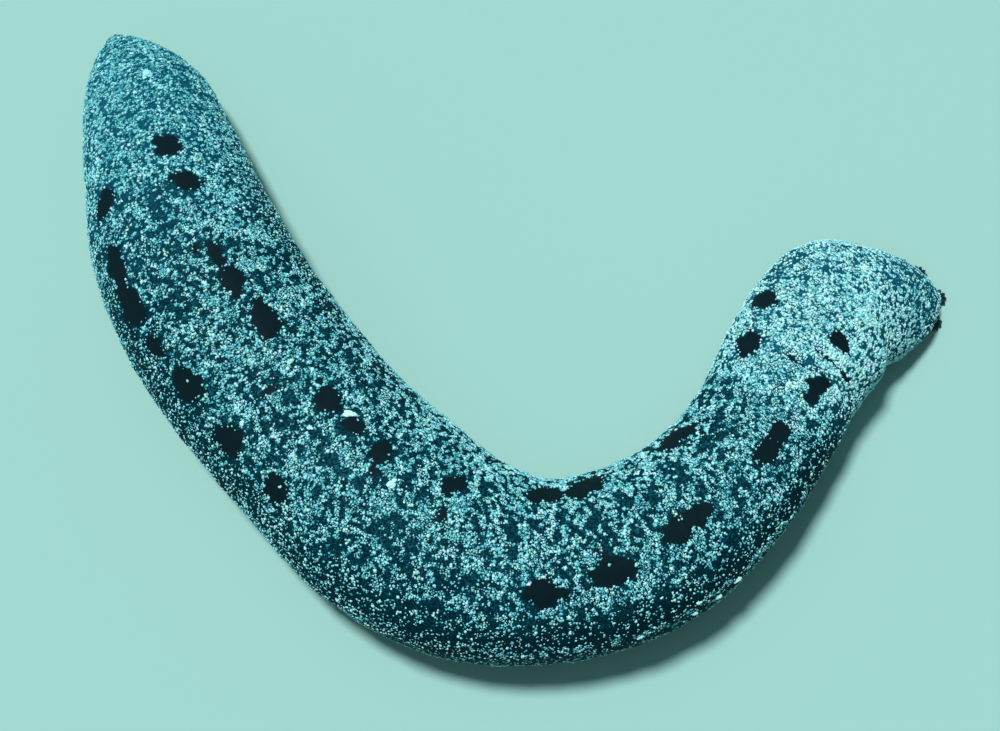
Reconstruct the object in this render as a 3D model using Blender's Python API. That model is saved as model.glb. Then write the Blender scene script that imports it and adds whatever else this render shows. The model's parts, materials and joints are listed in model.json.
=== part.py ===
# Black sea cucumber, life size, resting in a wide bend on a flat floor at z = 0. Metres, +Z up.
import math
import random
from bisect import bisect

import bmesh
import bpy
from mathutils import Vector, noise

MM = 0.001

# Middle line seen from above, tail tip first. Each row is x, y, half the width and the height of
# the back above the floor, all in millimetres. The two ends are rounded off by the domes below.
STATIONS = (
    (-104.2, 86.0, 10.8, 20.0),
    (-93.0, 63.7, 17.6, 28.0),
    (-85.5, 42.5, 21.5, 33.0),
    (-78.5, 22.5, 24.5, 36.5),
    (-68.5, 3.5, 25.5, 38.5),
    (-56.0, -13.7, 25.5, 39.0),
    (-41.6, -30.4, 25.1, 39.0),
    (-25.4, -46.0, 26.0, 39.0),
    (-6.6, -57.2, 24.3, 38.0),
    (15.5, -59.8, 21.7, 35.5),
    (36.0, -53.5, 21.0, 34.0),
    (52.5, -41.0, 19.2, 32.0),
    (65.0, -25.0, 18.2, 30.5),
    (74.5, -8.0, 19.0, 30.0),
    (84.9, 4.2, 20.3, 29.5),
    (98.6, 10.6, 18.7, 28.5),
    (115.0, 13.5, 20.5, 27.0),
)
# Middle of the finished outline in the same numbers, which becomes the origin
BOX_CENTRE = (3.3, 2.6, 0.0, 0.0)
CURVE_STEPS = 24
DIRECTION_REACH = 5.0 * MM

# Cross-section: widest line as a share of the height, and how square the upper and lower halves are
WIDEST_SHARE = 0.42
UPPER_SQUARE = 2.1
LOWER_SQUARE = 4.4
SOLE_HEIGHT = 1.2 * MM
UNDULATION = 0.5 * MM
UNDULATION_LENGTH = 16.0 * MM

# Tail: a round dome whose tip stands clear of the floor
TAIL_DOME = 26.0 * MM
TAIL_BLUNT = 2.1
TAIL_TIP_HEIGHT = 9.5 * MM
TAIL_CUT = 0.9 * MM

# Head: a hood that slopes down to a low flared rim
HOOD_START = 34.0 * MM
HOOD_FULL = 12.0 * MM
HOOD_WIDEST_SHARE = 0.2
HOOD_SQUARE = 1.6
HOOD_SOLE_HEIGHT = 4.8 * MM
HOOD_SOLE_START = 46.0 * MM
HOOD_SOLE_FULL = 28.0 * MM
HEAD_DOME = 26.0 * MM
HEAD_BLUNT = 1.35
HEAD_SLOPE = 32.0 * MM
HEAD_SLOPE_SQUARE = 1.5
RIM_HEIGHT = 5.6 * MM
HEAD_CUT = 0.2 * MM
# The hood turns to the animal's right: a crease behind it and a fuller rim on that side
RIGHT_BLUNT = 1.7
CREASE_TO_RIM = 27.0 * MM
CREASE_LENGTH = 8.0 * MM
CREASE_SHARE = 0.13

# Lengths of the body, parted by thin cuts across the middle line
PART_GAP = 0.3 * MM
RING_STEP = 4.5 * MM
SIDES = 28
DOME_RINGS = 8
TAIL_LENGTH = 38.0 * MM
HEAD_LENGTH = 30.0 * MM
NECK_LENGTH = 26.0 * MM
TRUNK_COUNT = 6

# Folds across the neck
FOLDS = 5
FOLD_STEP = 4.6 * MM
FOLD_DEPTH = 0.8 * MM
FOLD_HALF_WIDTH = 0.9 * MM
FOLD_RING_STEP = 1.15 * MM

# Tube feet of the sole
FOOT_SIDES = 6
FOOT_ROW_STEP = 8.5 * MM
FOOT_ROOT_RADIUS = 1.0 * MM
FOOT_WAIST_RADIUS = 0.6 * MM
FOOT_TIP_RADIUS = 0.85 * MM
FOOT_WAIST_HEIGHT = 0.9 * MM
FOOT_SUNK = 1.3 * MM
FOOT_SPLAY = 0.05
FOOT_EDGE_CLEARANCE = 1.7 * MM
FOOT_PLACES = (-0.7, -0.48, -0.13, 0.13, 0.48, 0.7)
FOOT_JITTER = 0.7 * MM
FEET_TO_RIM = 38.0 * MM
FOOT_SEED = 11

# Mouth: a round recess under the hood that holds the mouth disc and its tentacles
MOUTH_FROM_RIM = 18.0 * MM
MOUTH_RADIUS = 10.2 * MM
RECESS_TOP = 12.0 * MM
MOUTH_DISC_LOW = 7.8 * MM
MOUTH_SIDES = 24
LIP_RADIUS = 3.4 * MM
LIP_BULGE = 1.6 * MM
TENTACLES = 20
TENTACLE_ROOT = 7.4 * MM
TENTACLE_KNEE = 8.8 * MM
TENTACLE_KNEE_HEIGHT = 3.2 * MM
TENTACLE_REACH = (10.4 * MM, 12.4 * MM)
TENTACLE_LONG_REACH = 16.8 * MM
TENTACLE_RADIUS = 0.85 * MM
SHIELD_RADIUS = 2.0 * MM
SHIELD_HEIGHT = 2.3 * MM
SHIELD_LOBES = 5
TENTACLE_SEED = 5

# Vent at the tail tip: a puckered ring
VENT_RADIUS = 3.1 * MM
VENT_THICKNESS = 1.1 * MM
VENT_HOLE = 0.8 * MM
VENT_DEPTH = 0.8 * MM
VENT_PLEATS = 5

SKIN_ROUGHNESS = 0.6
MOUTH_ROUGHNESS = 0.45
COLOURS = {
    "tail": (0.058, 0.287, 0.347),
    "trunk": (0.032, 0.156, 0.188),
    "neck": (0.045, 0.205, 0.246),
    "head": (0.085, 0.296, 0.328),
    "mouth": (0.005, 0.013, 0.018),
}


def clear_scene():
    for thing in list(bpy.data.objects):
        bpy.data.objects.remove(thing)


def finish_material(name, colour, roughness):
    material = bpy.data.materials.new(name)
    material.use_nodes = True
    shader = material.node_tree.nodes["Principled BSDF"]
    shader.inputs["Base Color"].default_value = (*colour, 1.0)
    shader.inputs["Roughness"].default_value = roughness
    shader.inputs["Metallic"].default_value = 0.0
    return material


# The middle line


def curve_point(before, here, after, beyond, share):
    # Smooth curve through here and after
    bend = (2 * before - 5 * here + 4 * after - beyond) * share ** 2
    turn = (3 * here - before - 3 * after + beyond) * share ** 3
    return 0.5 * (2 * here + (after - before) * share + bend + turn)


def middle_line():
    # Rows of length from the tail tip and the values there, read closely along the smooth curve
    rows = [(Vector(row) - Vector(BOX_CENTRE)) * MM for row in STATIONS]
    rows = [2 * rows[0] - rows[1]] + rows + [2 * rows[-1] - rows[-2]]
    values = []
    for i in range(1, len(rows) - 2):
        for k in range(CURVE_STEPS):
            values.append(curve_point(rows[i - 1], rows[i], rows[i + 1], rows[i + 2], k / CURVE_STEPS))
    values.append(rows[-2])
    lengths = [0.0]
    for low, high in zip(values, values[1:]):
        lengths.append(lengths[-1] + (high.xy - low.xy).length)
    return lengths, values


LENGTHS, VALUES = middle_line()
BODY_LENGTH = LENGTHS[-1]


def values_at(place):
    # Values a length of place along the line, straight on past either end
    i = min(max(bisect(LENGTHS, place), 1), len(LENGTHS) - 1)
    share = (place - LENGTHS[i - 1]) / (LENGTHS[i] - LENGTHS[i - 1])
    return VALUES[i - 1].lerp(VALUES[i], share)


def directions_at(place):
    step = values_at(place + DIRECTION_REACH).xy - values_at(place - DIRECTION_REACH).xy
    forward = Vector((step.x, step.y, 0)).normalized()
    return forward, Vector((forward.y, -forward.x, 0))


def dome(distance, length, square):
    # Grows from 0 at the end to 1 at the given length
    share = 1 - min(max(distance / length, 0.0), 1.0)
    return (1 - share ** square) ** (1 / square)


def ease(value, low, high):
    share = min(max((value - low) / (high - low), 0.0), 1.0)
    return share * share * (3 - 2 * share)


# The body's surface


def section_at(place):
    # Half width, heights of back, widest line and sole, and the squareness of the upper half
    row = values_at(place)
    to_rim = BODY_LENGTH - place
    hood = 1 - ease(to_rim, HOOD_FULL, HOOD_START)
    tail = dome(place, TAIL_DOME, TAIL_BLUNT)
    plan = dome(to_rim, HEAD_DOME, HEAD_BLUNT)
    rise = dome(to_rim, HEAD_SLOPE, HEAD_SLOPE_SQUARE)
    half = row.z * tail * plan
    lifted = 1 - ease(to_rim, HOOD_SOLE_FULL, HOOD_SOLE_START)
    sole = SOLE_HEIGHT + (HOOD_SOLE_HEIGHT - SOLE_HEIGHT) * lifted
    back = RIM_HEIGHT + (row.w - RIM_HEIGHT) * rise
    sole = RIM_HEIGHT + (sole - RIM_HEIGHT) * plan
    back = TAIL_TIP_HEIGHT + (back - TAIL_TIP_HEIGHT) * tail
    sole = TAIL_TIP_HEIGHT + (sole - TAIL_TIP_HEIGHT) * tail
    share = WIDEST_SHARE + (HOOD_WIDEST_SHARE - WIDEST_SHARE) * hood
    square = UPPER_SQUARE + (HOOD_SQUARE - UPPER_SQUARE) * hood
    return half, back, sole + (back - sole) * share, sole, square


def right_share(place):
    # Half width on the animal's right as a share of that on its left
    to_rim = BODY_LENGTH - place
    fuller = dome(to_rim, HEAD_DOME, RIGHT_BLUNT) / dome(to_rim, HEAD_DOME, HEAD_BLUNT)
    offset = (to_rim - CREASE_TO_RIM) / CREASE_LENGTH
    return fuller * (1 - CREASE_SHARE * math.exp(-offset * offset))


def fold_at(place):
    # Depth of the neck's folds, in step with the count of folds ahead of the neck's rear cut
    depth = 0.0
    for i in range(FOLDS):
        offset = (place - NECK_START - (i + 0.7) * FOLD_STEP) / FOLD_HALF_WIDTH
        depth += math.exp(-offset * offset) * (0.6 + 0.4 * math.cos(2.3 * i))
    return FOLD_DEPTH * depth


def body_point(place, angle):
    # A point of the skin: angle 0 is the animal's right flank and a quarter turn is its back
    half, back, widest, sole, square = section_at(place)
    across, up = math.cos(angle), math.sin(angle)
    if across > 0:
        half *= right_share(place)
    tall = back - widest if up > 0 else widest - sole
    power = square if up > 0 else LOWER_SQUARE
    radius = ((abs(across) / half) ** power + (abs(up) / tall) ** power) ** (-1 / power)
    centre = values_at(place)
    _, side = directions_at(place)
    ripple = noise.noise(Vector((place, half * across, half * up)) / UNDULATION_LENGTH)
    if up > 0:
        radius += (UNDULATION * ripple - fold_at(place)) * up ** 0.5 * min(half / tall, 1.0)
    point = Vector((centre.x, centre.y, widest)) + side * (radius * across)
    point.z += radius * up
    return point


def sole_height(place, across):
    # Height of the underside at a share of the half width from the middle line
    _, _, widest, sole, _ = section_at(place)
    if across > 0:
        across /= right_share(place)
    return widest - (widest - sole) * (1 - abs(across) ** LOWER_SQUARE) ** (1 / LOWER_SQUARE)


# Meshes


def straight_tube(places, sides):
    # Closed tube of unit radius along z, with a ring at each place
    bm = bmesh.new()
    ring = bmesh.ops.create_circle(bm, segments=sides, radius=1.0)["verts"]
    bmesh.ops.translate(bm, verts=ring, vec=(0, 0, places[0]))
    edges = bm.edges[:]
    for low, high in zip(places, places[1:]):
        grown = bmesh.ops.extrude_edge_only(bm, edges=edges)["geom"]
        ring = [item for item in grown if isinstance(item, bmesh.types.BMVert)]
        edges = [item for item in grown if isinstance(item, bmesh.types.BMEdge)]
        bmesh.ops.translate(bm, verts=ring, vec=(0, 0, high - low))
    bmesh.ops.holes_fill(bm, edges=[edge for edge in bm.edges if edge.is_boundary], sides=0)
    return bm


def finish_object(name, bm, material, collection=None):
    bmesh.ops.recalc_face_normals(bm, faces=bm.faces[:])
    if bm.calc_volume(signed=True) < 0:
        bmesh.ops.reverse_faces(bm, faces=bm.faces[:])
    mesh = bpy.data.meshes.new(name)
    bm.to_mesh(mesh)
    bm.free()
    mesh.shade_smooth()
    mesh.set_sharp_from_angle(angle=math.radians(50))
    if material:
        mesh.materials.append(material)
    thing = bpy.data.objects.new(name, mesh)
    (collection or bpy.context.scene.collection).objects.link(thing)
    return thing


def island_of(start, left):
    island, edge_of_island = {start}, [start]
    left.discard(start)
    while edge_of_island:
        face = edge_of_island.pop()
        for edge in face.edges:
            for near in edge.link_faces:
                if near in left:
                    left.discard(near)
                    island.add(near)
                    edge_of_island.append(near)
    return island


def keep_largest_surface(mesh):
    bm = bmesh.new()
    bm.from_mesh(mesh)
    left = set(bm.faces)
    islands = []
    while left:
        islands.append(island_of(next(iter(left)), left))
    islands.sort(key=len)
    scraps = [face for island in islands[:-1] for face in island]
    bmesh.ops.delete(bm, geom=scraps, context="FACES")
    bm.to_mesh(mesh)
    bm.free()


def combine(thing, collection, operation):
    # Joins or cuts with every closed mesh of the collection, then removes them
    change = thing.modifiers.new("combine", "BOOLEAN")
    change.operand_type = "COLLECTION"
    change.collection = collection
    change.operation = operation
    change.solver = "EXACT"
    bpy.context.view_layer.update()
    result = bpy.data.meshes.new_from_object(thing.evaluated_get(bpy.context.evaluated_depsgraph_get()))
    thing.modifiers.remove(change)
    thing.data = result
    for tool in list(collection.objects):
        bpy.data.objects.remove(tool)
    bpy.data.collections.remove(collection)
    keep_largest_surface(result)


def new_collection(name):
    collection = bpy.data.collections.new(name)
    bpy.context.scene.collection.children.link(collection)
    return collection


# Lengths of the body

NECK_START = BODY_LENGTH - HEAD_LENGTH - NECK_LENGTH


def even_places(start, stop, step):
    count = max(1, round((stop - start) / step))
    return [start + (stop - start) * i / count for i in range(count + 1)]


def dome_places(cut, length):
    # Places from the cut end to the dome's full length, closest where the dome turns fastest
    first = math.acos(1 - cut / length)
    turns = [first + (math.pi / 2 - first) * i / DOME_RINGS for i in range(DOME_RINGS + 1)]
    return [length * (1 - math.cos(turn)) for turn in turns]


def body_length(name, places, material):
    bm = straight_tube(places, SIDES)
    for vert in bm.verts:
        vert.co = body_point(vert.co.z, math.atan2(vert.co.y, vert.co.x))
    return finish_object(name, bm, material)


def foot(place, across, drift, collection):
    # A tapered stub from inside the sole to a flat sucker on the floor
    rng_side, rng_along = drift
    half = section_at(place)[0]
    forward, side = directions_at(place)
    centre = values_at(place)
    root = Vector((centre.x, centre.y, 0)) + side * (across * half + rng_side) + forward * rng_along
    lean = side * (across * half * FOOT_SPLAY)
    top = sole_height(place, (across * half + rng_side) / half) + FOOT_SUNK
    shape = ((0.0, FOOT_TIP_RADIUS), (FOOT_WAIST_HEIGHT, FOOT_WAIST_RADIUS), (top, FOOT_ROOT_RADIUS))
    bm = straight_tube([height for height, _ in shape], FOOT_SIDES)
    for vert in bm.verts:
        height, radius = min(shape, key=lambda row: abs(row[0] - vert.co.z))
        shift = root + lean * (1 - height / top)
        vert.co = Vector((vert.co.x * radius, vert.co.y * radius, height)) + Vector((shift.x, shift.y, 0))
    finish_object("foot", bm, None, collection)


def feet(thing, start, stop, seed):
    rng = random.Random(seed)
    collection = new_collection("feet")
    rows = even_places(start + FOOT_EDGE_CLEARANCE, stop - FOOT_EDGE_CLEARANCE, FOOT_ROW_STEP)
    for i, place in enumerate(rows[1:]):
        middle = (rows[i] + place) / 2
        for k, across in enumerate(FOOT_PLACES):
            stagger = FOOT_ROW_STEP * 0.25 * (1 if (i + k) % 2 else -1)
            drift = rng.uniform(-1, 1) * FOOT_JITTER, stagger + rng.uniform(-0.5, 0.5) * FOOT_JITTER
            foot(middle, across, drift, collection)
    combine(thing, collection, "UNION")


def trunk(material):
    start, stop = TAIL_LENGTH, NECK_START
    each = (stop - start) / TRUNK_COUNT
    for i in range(TRUNK_COUNT):
        low = start + i * each + PART_GAP / 2
        high = start + (i + 1) * each - PART_GAP / 2
        number = TRUNK_COUNT - i
        length = body_length(f"trunk_{number}", even_places(low, high, RING_STEP), material)
        feet(length, low, high, FOOT_SEED + number)


def tail_end(material):
    stop = TAIL_LENGTH - PART_GAP / 2
    places = dome_places(TAIL_CUT, TAIL_DOME)
    places += even_places(places[-1], stop, RING_STEP)[1:]
    tail = body_length("tail_end", places, material)
    feet(tail, TAIL_LENGTH / 2, stop, FOOT_SEED)


def neck(material):
    low, high = NECK_START + PART_GAP / 2, NECK_START + NECK_LENGTH - PART_GAP / 2
    length = body_length("neck", even_places(low, high, FOLD_RING_STEP), material)
    feet(length, low, BODY_LENGTH - FEET_TO_RIM, FOOT_SEED + TRUNK_COUNT + 1)


# Head, mouth and vent


def mouth_centre():
    centre = values_at(BODY_LENGTH - MOUTH_FROM_RIM)
    return Vector((centre.x, centre.y, 0))


def head_hood(material):
    start = BODY_LENGTH - HEAD_LENGTH + PART_GAP / 2
    places = even_places(start, BODY_LENGTH - HEAD_DOME, RING_STEP)[:-1]
    places += [BODY_LENGTH - back for back in reversed(dome_places(HEAD_CUT, HEAD_DOME))]
    hood = body_length("head_hood", places, material)
    collection = new_collection("recess")
    bm = bmesh.new()
    bmesh.ops.create_cone(bm, cap_ends=True, segments=MOUTH_SIDES, radius1=MOUTH_RADIUS + PART_GAP,
                          radius2=MOUTH_RADIUS + PART_GAP, depth=2 * RECESS_TOP)
    bmesh.ops.translate(bm, verts=bm.verts, vec=mouth_centre())
    cutter = finish_object("recess_cutter", bm, None, collection)
    cutter.hide_render = True
    cutter.display_type = "WIRE"
    combine(hood, collection, "DIFFERENCE")


def stalk(angle, reach, collection):
    # A bent tube from inside the mouth disc, down, and out to its shield
    outward = Vector((math.cos(angle), math.sin(angle), 0))
    path = (
        (TENTACLE_ROOT, MOUTH_DISC_LOW + FOOT_SUNK, 1.15),
        (TENTACLE_KNEE, TENTACLE_KNEE_HEIGHT, 0.95),
        (reach, SHIELD_HEIGHT * 0.6, 0.8),
    )
    bm = straight_tube(range(len(path)), FOOT_SIDES)
    rows = [outward * away + Vector((0, 0, height)) for away, height, _ in path]
    for vert in bm.verts:
        i = round(vert.co.z)
        along = (rows[min(i + 1, len(rows) - 1)] - rows[max(i - 1, 0)]).normalized()
        beside = Vector((-outward.y, outward.x, 0))
        lift = along.cross(beside)
        size = TENTACLE_RADIUS * path[i][2]
        vert.co = rows[i] + beside * (vert.co.x * size) + lift * (vert.co.y * size)
    bmesh.ops.translate(bm, verts=bm.verts, vec=mouth_centre())
    finish_object("stalk", bm, None, collection)


def shield(angle, reach, size, collection):
    # The lobed pad that ends a tentacle, flat on the floor
    outward = Vector((math.cos(angle), math.sin(angle), 0))
    shape = ((0.0, 0.9), (0.4, 1.0), (1.0, 0.45))
    bm = straight_tube([height for height, _ in shape], 2 * SHIELD_LOBES)
    for vert in bm.verts:
        around = math.atan2(vert.co.y, vert.co.x)
        height, width = min(shape, key=lambda row: abs(row[0] - vert.co.z))
        lobe = 1 + 0.12 * math.cos(SHIELD_LOBES * around)
        vert.co.xy = vert.co.xy * (size * width * lobe)
        vert.co.z = height * SHIELD_HEIGHT
    bmesh.ops.translate(bm, verts=bm.verts, vec=mouth_centre() + outward * reach)
    finish_object("shield", bm, None, collection)


def mouth_crown(material):
    # Disc with lips round a central pit, and tentacles in two rows, longest towards the front
    top, low = RECESS_TOP - PART_GAP, MOUTH_DISC_LOW
    shape = (
        (MOUTH_RADIUS, top), (MOUTH_RADIUS, low + 0.8 * MM), (MOUTH_RADIUS * 0.93, low),
        (LIP_RADIUS * 1.4, low), (LIP_RADIUS, low - LIP_BULGE),
        (LIP_RADIUS * 0.6, low - 0.8 * LIP_BULGE), (LIP_RADIUS * 0.25, low + 1.0 * MM),
    )
    bm = straight_tube(range(len(shape)), MOUTH_SIDES)
    for vert in bm.verts:
        radius, height = shape[round(vert.co.z)]
        vert.co = Vector((vert.co.x * radius, vert.co.y * radius, height))
    bmesh.ops.translate(bm, verts=bm.verts, vec=mouth_centre())
    crown = finish_object("mouth_crown", bm, material)
    forward, _ = directions_at(BODY_LENGTH - MOUTH_FROM_RIM)
    heading = math.atan2(forward.y, forward.x)
    rng = random.Random(TENTACLE_SEED)
    collection = new_collection("tentacles")
    for i in range(TENTACLES):
        turn = 2 * math.pi * (i + 0.5) / TENTACLES
        reach = TENTACLE_REACH[i % 2] + rng.uniform(-0.4, 0.4) * MM
        if i % 2 and math.cos(turn) > 0.85:
            reach = TENTACLE_LONG_REACH
        size = SHIELD_RADIUS * rng.uniform(0.9, 1.05)
        stalk(heading + turn, reach, collection)
        shield(heading + turn, reach, size, collection)
    combine(crown, collection, "UNION")


def vent_rim(material):
    forward, side = directions_at(0)
    centre = values_at(TAIL_CUT - PART_GAP)
    shape = (
        (VENT_RADIUS * 0.9, 0.0), (VENT_RADIUS, 0.3 * VENT_THICKNESS),
        (VENT_RADIUS * 0.8, 0.85 * VENT_THICKNESS), (VENT_RADIUS * 0.5, VENT_THICKNESS),
        (VENT_HOLE, VENT_THICKNESS * 0.75), (VENT_HOLE * 0.6, VENT_THICKNESS - VENT_DEPTH),
    )
    bm = straight_tube(range(len(shape)), 4 * VENT_PLEATS)
    origin = Vector((centre.x, centre.y, TAIL_TIP_HEIGHT))
    for vert in bm.verts:
        around = math.atan2(vert.co.y, vert.co.x)
        radius, out = shape[round(vert.co.z)]
        pleat = 1 + 0.1 * math.cos(VENT_PLEATS * around) * (1 if out > 0 else 0)
        vert.co = origin + (side * math.cos(around) + Vector((0, 0, math.sin(around)))) * radius * pleat
        vert.co -= forward * out
    finish_object("vent_rim", bm, material)


def build():
    clear_scene()
    tail_end(finish_material("tail_skin", COLOURS["tail"], SKIN_ROUGHNESS))
    trunk(finish_material("trunk_skin", COLOURS["trunk"], SKIN_ROUGHNESS))
    neck(finish_material("neck_skin", COLOURS["neck"], SKIN_ROUGHNESS))
    head_hood(finish_material("head_skin", COLOURS["head"], SKIN_ROUGHNESS))
    mouth_crown(finish_material("mouth_flesh", COLOURS["mouth"], MOUTH_ROUGHNESS))
    vent_rim(finish_material("vent_flesh", COLOURS["mouth"], MOUTH_ROUGHNESS))


build()
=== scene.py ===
import json
import math
import random
from bisect import bisect

import bmesh
import bpy
import numpy as np
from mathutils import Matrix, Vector, noise
from mathutils.bvhtree import BVHTree

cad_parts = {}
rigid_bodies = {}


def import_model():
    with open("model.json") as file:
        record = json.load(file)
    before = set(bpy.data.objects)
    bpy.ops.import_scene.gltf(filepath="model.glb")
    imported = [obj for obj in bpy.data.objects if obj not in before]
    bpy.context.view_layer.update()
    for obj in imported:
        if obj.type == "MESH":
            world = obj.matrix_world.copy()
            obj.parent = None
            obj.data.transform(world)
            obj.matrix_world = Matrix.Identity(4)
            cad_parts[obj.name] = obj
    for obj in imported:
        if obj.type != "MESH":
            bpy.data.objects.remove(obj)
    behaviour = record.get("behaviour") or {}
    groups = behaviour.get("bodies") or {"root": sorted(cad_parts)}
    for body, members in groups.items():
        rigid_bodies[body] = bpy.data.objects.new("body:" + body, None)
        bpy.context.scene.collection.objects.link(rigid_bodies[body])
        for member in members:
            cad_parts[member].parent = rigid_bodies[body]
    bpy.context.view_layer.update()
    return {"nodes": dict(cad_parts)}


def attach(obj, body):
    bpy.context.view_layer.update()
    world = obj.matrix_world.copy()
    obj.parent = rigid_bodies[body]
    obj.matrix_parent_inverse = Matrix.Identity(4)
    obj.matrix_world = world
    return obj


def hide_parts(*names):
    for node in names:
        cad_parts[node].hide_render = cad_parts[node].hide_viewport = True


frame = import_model()
mm = 0.001
mergeReach = 0.0001 * mm
leastLength = 1e-12

# Camera and light

view = {
    "target": Vector((-2.5, -10.8, 12.0)) * mm,
    "distance": 347.2 * mm,
    "elevation": 72.0,  # degrees above the floor
    "lens": 50.0,
    "sensor": 36.0,
    "photoWidth": 1000,
    "photoHeight": 731,
    "nearest": 0.01,
}
light = {
    "keyFrom": (-0.29, 0.275, 1.10),  # a direction
    "keyWidth": 9.8,  # degrees across
    "keyStrength": 3.42,
    "fillPlace": (-0.5, -0.6, 0.9),
    "fillSize": 1.2,
    "fillPower": 0.6,
    "skyColour": (0.50, 0.92, 1.0, 1),
    "skyStrength": 0.19,
    "floorColour": (0.305, 0.56, 0.505, 1),
    "floorRoughness": 0.9,
    "floorSize": 60.0,
}


def addObject(name, data):
    thing = bpy.data.objects.new(name, data)
    bpy.context.scene.collection.objects.link(thing)
    return thing


def makeCamera():
    tilt = math.radians(view["elevation"])
    back = Vector((0, -math.cos(tilt), math.sin(tilt)))
    data = bpy.data.cameras.new("camera")
    data.lens = view["lens"]
    data.sensor_width = view["sensor"]
    data.clip_start = view["nearest"]
    camera = addObject("camera", data)
    camera.location = view["target"] + back * view["distance"]
    camera.rotation_euler = (math.pi / 2 - tilt, 0, 0)
    bpy.context.scene.camera = camera
    bpy.context.view_layer.update()
    return camera


def pixelRay(camera, spot):
    # Start and direction of the sight line through a place in the photo
    x = (spot[0] - view["photoWidth"] / 2) / view["photoWidth"] * view["sensor"] / view["lens"]
    y = (view["photoHeight"] / 2 - spot[1]) / view["photoWidth"] * view["sensor"] / view["lens"]
    turn = camera.matrix_world.to_3x3()
    return camera.location.copy(), (turn @ Vector((x, y, -1))).normalized()


def addLamp(name, kind, place, settings):
    data = bpy.data.lights.new(name, kind)
    for key, value in settings.items():
        setattr(data, key, value)
    lamp = addObject(name, data)
    lamp.location = place
    lamp.rotation_euler = (-Vector(place)).to_track_quat("-Z", "Y").to_euler()


def makeLights():
    key = {"angle": math.radians(light["keyWidth"]), "energy": light["keyStrength"]}
    addLamp("key", "SUN", light["keyFrom"], key)
    addLamp("fill", "AREA", light["fillPlace"], {"size": light["fillSize"], "energy": light["fillPower"]})
    world = bpy.data.worlds.new("studio")
    world.use_nodes = True
    sky = world.node_tree.nodes["Background"]
    sky.inputs["Color"].default_value = light["skyColour"]
    sky.inputs["Strength"].default_value = light["skyStrength"]
    bpy.context.scene.world = world
    bpy.context.scene.view_settings.view_transform = "Standard"


# Shader maths: a Wire is a socket that can stand in a sum


class Wire:
    def __init__(self, finish, socket):
        self.finish = finish
        self.socket = socket

    def maths(self, operation, first, second):
        return self.finish.add("ShaderNodeMath", {"operation": operation}, {0: first, 1: second})

    def __add__(self, other):
        return self.maths("ADD", self, other)

    def __radd__(self, other):
        return self.maths("ADD", other, self)

    def __sub__(self, other):
        return self.maths("SUBTRACT", self, other)

    def __rsub__(self, other):
        return self.maths("SUBTRACT", other, self)

    def __mul__(self, other):
        return self.maths("MULTIPLY", self, other)

    def __rmul__(self, other):
        return self.maths("MULTIPLY", other, self)


class Finish:
    def __init__(self, name):
        self.material = bpy.data.materials.new(name)
        self.material.use_nodes = True
        self.tree = self.material.node_tree
        self.shader = self.tree.nodes["Principled BSDF"]

    def add(self, kind, settings=None, sockets=None, out=0):
        node = self.tree.nodes.new(kind)
        for key, value in (settings or {}).items():
            if key == "stops":
                setStops(node.color_ramp, value)
            else:
                setattr(node, key, value)
        self.fill(node, sockets or {})
        return Wire(self, node.outputs[out])

    def fill(self, node, sockets):
        for key, value in sockets.items():
            if isinstance(value, Wire):
                self.tree.links.new(value.socket, node.inputs[key])
            else:
                node.inputs[key].default_value = value

    def place(self):
        return self.add("ShaderNodeTexCoord", out="Object")

    def attribute(self, name):
        return self.add("ShaderNodeAttribute", {"attribute_name": name}, out="Fac")

    def noise(self, scale, detail, roughness):
        sockets = {"Vector": self.place(), "Scale": scale, "Detail": detail, "Roughness": roughness}
        return self.add("ShaderNodeTexNoise", None, sockets)

    def between(self, value, low, high):
        # 0 below low, 1 above high, and a smooth step from one to the other
        settings = {"interpolation_type": "SMOOTHSTEP"}
        sockets = {"Value": value, "From Min": low, "From Max": high}
        return self.add("ShaderNodeMapRange", settings, sockets)

    def blend(self, share, first, second, kind="MIX"):
        settings = {"data_type": "RGBA", "blend_type": kind}
        return self.add("ShaderNodeMix", settings, {0: share, 6: first, 7: second}, out=2)

    def patchy(self, look, name):
        # A noise from its scale, detail and roughness, and the range over which it shows
        return self.between(self.noise(*look[name]), *look[name + "Range"])

    def soft(self, look, colour, roughness):
        # Skin with fine bumps
        height, gloss = self.noise(*look["bumps"]), look["gloss"]
        sockets = {"Height": height, "Distance": look["bumpDepth"], "Strength": look["bumpStrength"]}
        bump = self.add("ShaderNodeBump", None, sockets)
        return self.set(Base_Color=colour, Roughness=roughness, Normal=bump, Specular_IOR_Level=gloss)

    def set(self, **sockets):
        self.fill(self.shader, {key.replace("_", " "): value for key, value in sockets.items()})
        return self.material


def setStops(ramp, stops):
    while len(ramp.elements) > 1:
        ramp.elements.remove(ramp.elements[-1])
    ramp.elements[0].position, ramp.elements[0].color = stops[0]
    for position, colour in stops[1:]:
        ramp.elements.new(position).color = colour


def mottledFinish(name, look):
    finish = Finish(name)
    colour = finish.blend(finish.patchy(look, "mottle"), *look["colours"])
    return finish.soft(look, colour, look["roughness"])


# Meshes and pieces


def meshOf(name, bm):
    mesh = bpy.data.meshes.new(name)
    bm.to_mesh(mesh)
    bm.free()
    return mesh


def faceOut(bm):
    bmesh.ops.recalc_face_normals(bm, faces=bm.faces[:])
    if bm.calc_volume(signed=True) < 0:
        bmesh.ops.reverse_faces(bm, faces=bm.faces[:])


def turnedShape(profile, steps):
    # A closed shape turned from a profile of radius and height that starts and ends on the axis
    bm = bmesh.new()
    verts = [bm.verts.new((radius, 0, height)) for radius, height in profile]
    edges = [bm.edges.new(pair) for pair in zip(verts, verts[1:])]
    bmesh.ops.spin(bm, geom=verts + edges, cent=(0, 0, 0), axis=(0, 0, 1), angle=2 * math.pi, steps=steps,
                   use_merge=True)
    bmesh.ops.remove_doubles(bm, verts=bm.verts[:], dist=mergeReach)
    faceOut(bm)
    return bm


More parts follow.
